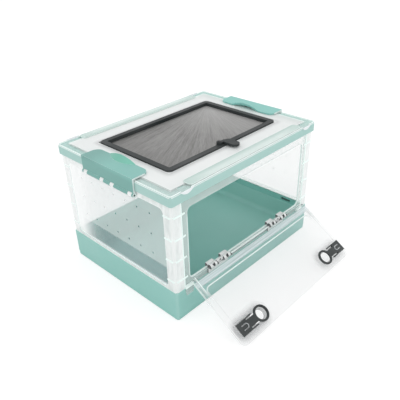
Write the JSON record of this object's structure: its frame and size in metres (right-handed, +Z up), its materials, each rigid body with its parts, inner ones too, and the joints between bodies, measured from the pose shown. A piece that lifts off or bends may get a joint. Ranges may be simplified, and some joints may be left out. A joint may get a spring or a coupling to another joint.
{
  "type": "plastic pet keeper",
  "caption": "Clear-walled plastic pet keeper with a green tray and rim, mesh-window lid, side clips and a drop-down front door with ring latches.",
  "frame": {"origin": "centre of the tray's underside, on the surface that the keeper stands on", "axes": "+Z up, -Y towards the front door, +X towards the right-hand side clip"},
  "size_m": [0.3512, 0.3691, 0.2257],
  "materials": {
    "green_plastic": "moulded, satin gloss",
    "clear_plastic": "clear moulded plastic",
    "milky_plastic": "milky translucent plastic",
    "pale_green_plastic": "pale green translucent plastic",
    "black_plastic": "moulded, satin",
    "wire_mesh": "fine woven wire",
    "dark_pin": "dark steel"
  },
  "bodies": {
    "enclosure": {"base_tray": "green_plastic", "front_frame": "clear_plastic", "back_panel": "clear_plastic", "left_panel": "clear_plastic", "right_panel": "clear_plastic", "top_rim": "green_plastic", "left_clip_pin": "dark_pin", "right_clip_pin": "dark_pin", "left_hinge_bracket": "clear_plastic", "right_hinge_bracket": "clear_plastic", "left_hinge_pin": "dark_pin", "right_hinge_pin": "dark_pin"},
    "lid": {"lid_plate": "milky_plastic", "lid_front_strip": "pale_green_plastic", "lid_back_strip": "pale_green_plastic", "window_pins": "dark_pin"},
    "window": {"window_frame": "black_plastic", "window_mesh": "wire_mesh", "catch_pin": "dark_pin"},
    "catch": {"window_catch": "black_plastic"},
    "clip_left": {"left_clip": "green_plastic"},
    "clip_right": {"right_clip": "green_plastic"},
    "door": {"door_panel": "clear_plastic", "left_latch_guide": "clear_plastic", "right_latch_guide": "clear_plastic"},
    "latch_left": {"left_latch": "black_plastic"},
    "latch_right": {"right_latch": "black_plastic"}
  },
  "joints": [
    {"name": "door_hinge", "type": "hinge", "parent": "enclosure", "child": "door", "pos_m": [0, -0.1321, 0.0655], "axis": [-1, 0, 0], "range_deg": [0, 122.3]},
    {"name": "left_latch_slide", "type": "slide", "parent": "door", "child": "latch_left", "axis": [-1, 0, 0], "range_m": [0, 0.011]},
    {"name": "right_latch_slide", "type": "slide", "parent": "door", "child": "latch_right", "axis": [1, 0, 0], "range_m": [0, 0.011]},
    {"name": "left_clip_hinge", "type": "hinge", "parent": "enclosure", "child": "clip_left", "pos_m": [-0.1722, 0, 0.1932], "axis": [0, -1, 0], "range_deg": [0, 150]},
    {"name": "right_clip_hinge", "type": "hinge", "parent": "enclosure", "child": "clip_right", "pos_m": [0.1722, 0, 0.1932], "axis": [0, 1, 0], "range_deg": [0, 150]},
    {"name": "lid_lift", "type": "slide", "parent": "enclosure", "child": "lid", "axis": [0, 0, 1], "range_m": [0, 0.0145]},
    {"name": "window_hinge", "type": "hinge", "parent": "lid", "child": "window", "pos_m": [0, 0.075, 0.2127], "axis": [-1, 0, 0], "range_deg": [0, 105]},
    {"name": "catch_turn", "type": "hinge", "parent": "window", "child": "catch", "pos_m": [-0.01, -0.072, 0.22], "axis": [0, 0, 1], "range_deg": [0, 90]}
  ],
  "couplings": [
    {"joint": "left_clip_hinge", "follows": "lid_lift", "rad_per_m": 180.5},
    {"joint": "right_clip_hinge", "follows": "lid_lift", "rad_per_m": 180.5}
  ]
}
